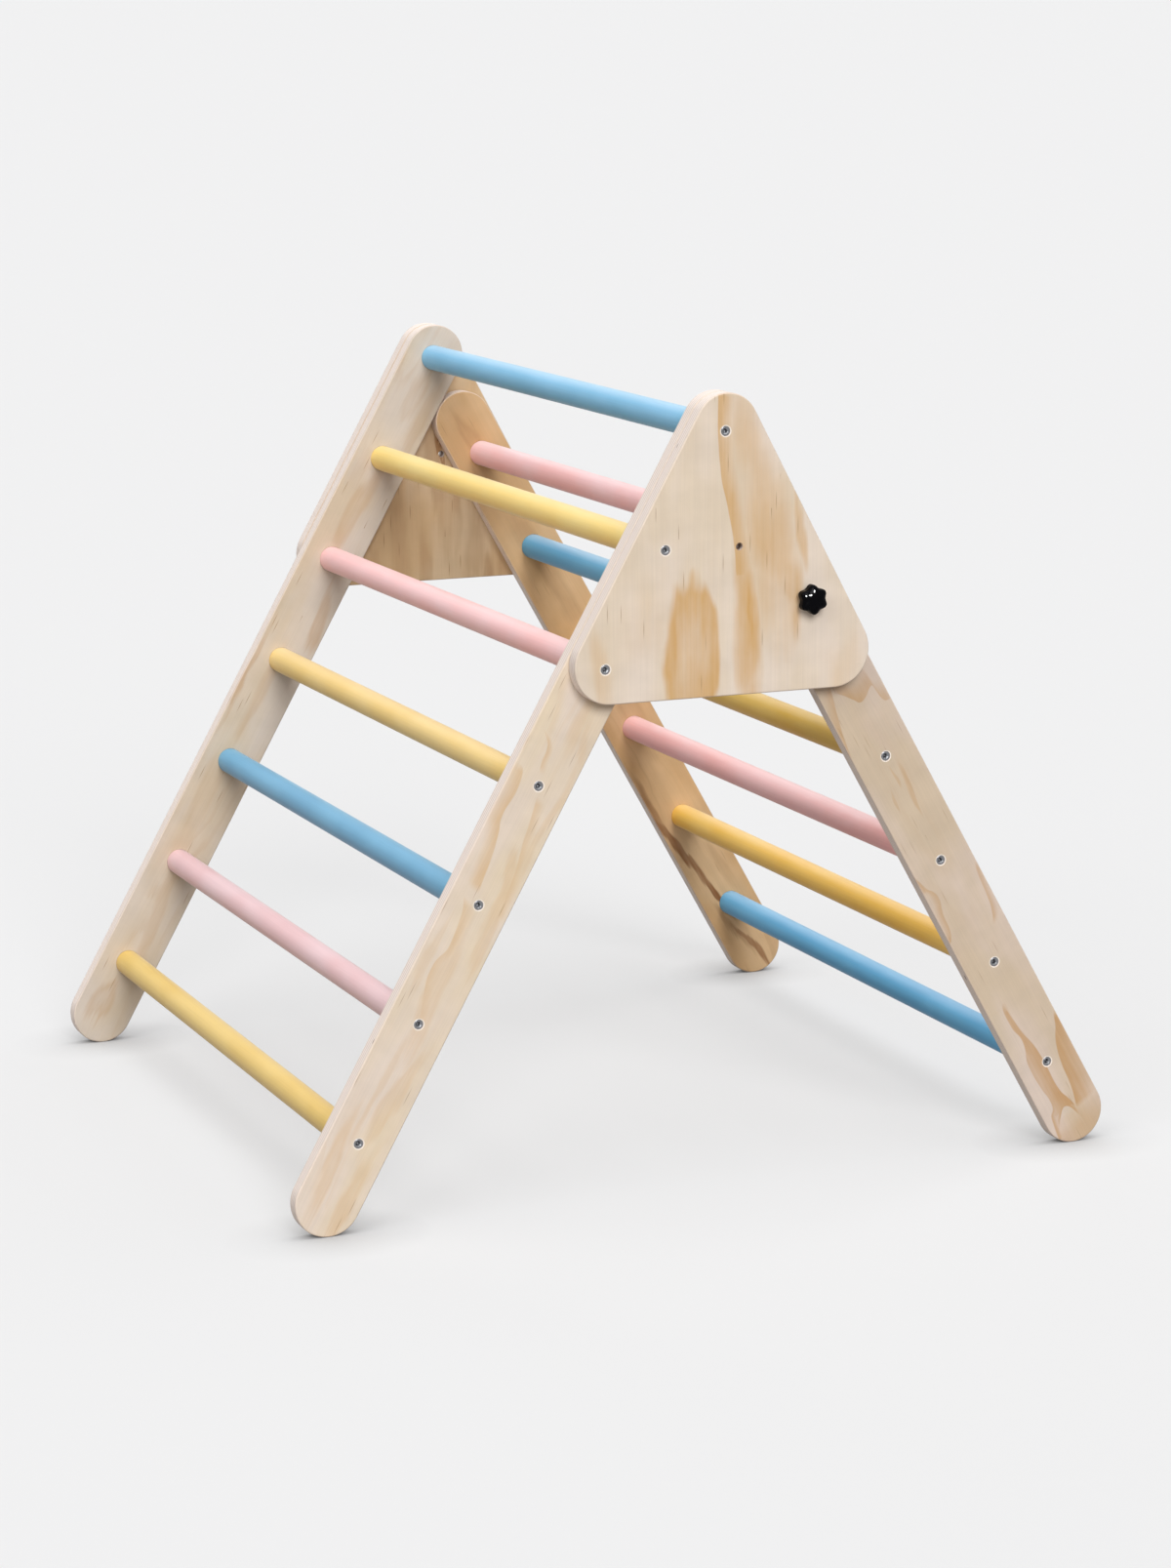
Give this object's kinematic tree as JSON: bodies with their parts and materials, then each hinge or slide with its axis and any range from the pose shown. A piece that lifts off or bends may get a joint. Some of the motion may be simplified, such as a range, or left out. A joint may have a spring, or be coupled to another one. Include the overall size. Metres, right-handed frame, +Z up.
{
  "type": "climbing triangle",
  "caption": "Folding wooden climbing triangle with painted rungs, rounded side plates and hand knobs that clamp the rear ladder.",
  "frame": {"origin": "on the floor, midway between the front and rear feet and between the two sides", "axes": "+Z up, +X along the rungs towards the right side plate, +Y from the front ladder (seven rungs) towards the folding rear ladder (six rungs)"},
  "size_m": [0.934, 0.9438, 0.8543],
  "materials": {
    "birch_plywood": "clear matte lacquer",
    "blue_paint": "matte blue paint on a wooden dowel",
    "yellow_paint": "matte yellow paint on a wooden dowel",
    "pink_paint": "matte pink paint on a wooden dowel",
    "pale_pink_paint": "matte pale pink paint on a wooden dowel",
    "zinc_plated_steel": "bright zinc plating",
    "brass": "turned brass",
    "black_thermoset": "glossy black moulding"
  },
  "bodies": {
    "front_frame": {"front_rail_left": "birch_plywood", "front_rail_right": "birch_plywood", "side_plate_left": "birch_plywood", "side_plate_right": "birch_plywood", "front_rung_1": "blue_paint", "front_rung_2": "yellow_paint", "front_rung_3": "pink_paint", "front_rung_4": "yellow_paint", "front_rung_5": "blue_paint", "front_rung_6": "pale_pink_paint", "front_rung_7": "yellow_paint", "plate_screw_left_1": "zinc_plated_steel", "plate_screw_left_2": "zinc_plated_steel", "plate_screw_left_3": "zinc_plated_steel", "front_rail_screw_left_4": "zinc_plated_steel", "front_rail_screw_left_5": "zinc_plated_steel", "front_rail_screw_left_6": "zinc_plated_steel", "front_rail_screw_left_7": "zinc_plated_steel", "plate_screw_right_1": "zinc_plated_steel", "plate_screw_right_2": "zinc_plated_steel", "plate_screw_right_3": "zinc_plated_steel", "front_rail_screw_right_4": "zinc_plated_steel", "front_rail_screw_right_5": "zinc_plated_steel", "front_rail_screw_right_6": "zinc_plated_steel", "front_rail_screw_right_7": "zinc_plated_steel"},
    "rear_ladder": {"rear_rail_left": "birch_plywood", "rear_rail_right": "birch_plywood", "rear_rung_1": "pink_paint", "rear_rung_2": "blue_paint", "rear_rung_3": "yellow_paint", "rear_rung_4": "pink_paint", "rear_rung_5": "yellow_paint", "rear_rung_6": "blue_paint", "rear_rail_screw_left_1": "zinc_plated_steel", "rear_rail_screw_left_2": "zinc_plated_steel", "rear_rail_screw_left_3": "zinc_plated_steel", "rear_rail_screw_left_4": "zinc_plated_steel", "rear_rail_screw_left_5": "zinc_plated_steel", "rear_rail_screw_left_6": "zinc_plated_steel", "rear_rail_screw_right_1": "zinc_plated_steel", "rear_rail_screw_right_2": "zinc_plated_steel", "rear_rail_screw_right_3": "zinc_plated_steel", "rear_rail_screw_right_4": "zinc_plated_steel", "rear_rail_screw_right_5": "zinc_plated_steel", "rear_rail_screw_right_6": "zinc_plated_steel", "threaded_insert_left": "brass", "threaded_insert_right": "brass"},
    "left_washer": {"knob_washer_left": "zinc_plated_steel"},
    "left_knob": {"knob_left": "black_thermoset", "knob_stud_left": "zinc_plated_steel"},
    "right_washer": {"knob_washer_right": "zinc_plated_steel"},
    "right_knob": {"knob_right": "black_thermoset", "knob_stud_right": "zinc_plated_steel"}
  },
  "joints": [
    {"name": "rear_ladder_fold", "type": "hinge", "parent": "front_frame", "child": "rear_ladder", "pos_m": [0, 0.09832, 0.63512], "axis": [-1, 0, 0], "range_deg": [0, 66.8]},
    {"name": "left_knob_travel", "type": "slide", "parent": "rear_ladder", "child": "left_washer", "axis": [-1, 0, 0], "range_m": [0, 0.01]},
    {"name": "left_knob_turn", "type": "hinge", "parent": "left_washer", "child": "left_knob", "pos_m": [0, 0.09832, 0.63512], "axis": [-1, 0, 0], "range_deg": [0, 2880]},
    {"name": "right_knob_travel", "type": "slide", "parent": "rear_ladder", "child": "right_washer", "axis": [1, 0, 0], "range_m": [0, 0.01]},
    {"name": "right_knob_turn", "type": "hinge", "parent": "right_washer", "child": "right_knob", "pos_m": [0, 0.09832, 0.63512], "axis": [1, 0, 0], "range_deg": [0, 2880]}
  ],
  "couplings": [
    {"joint": "left_knob_travel", "follows": "left_knob_turn", "m_per_rad": 0.00019894},
    {"joint": "right_knob_travel", "follows": "right_knob_turn", "m_per_rad": 0.00019894}
  ]
}
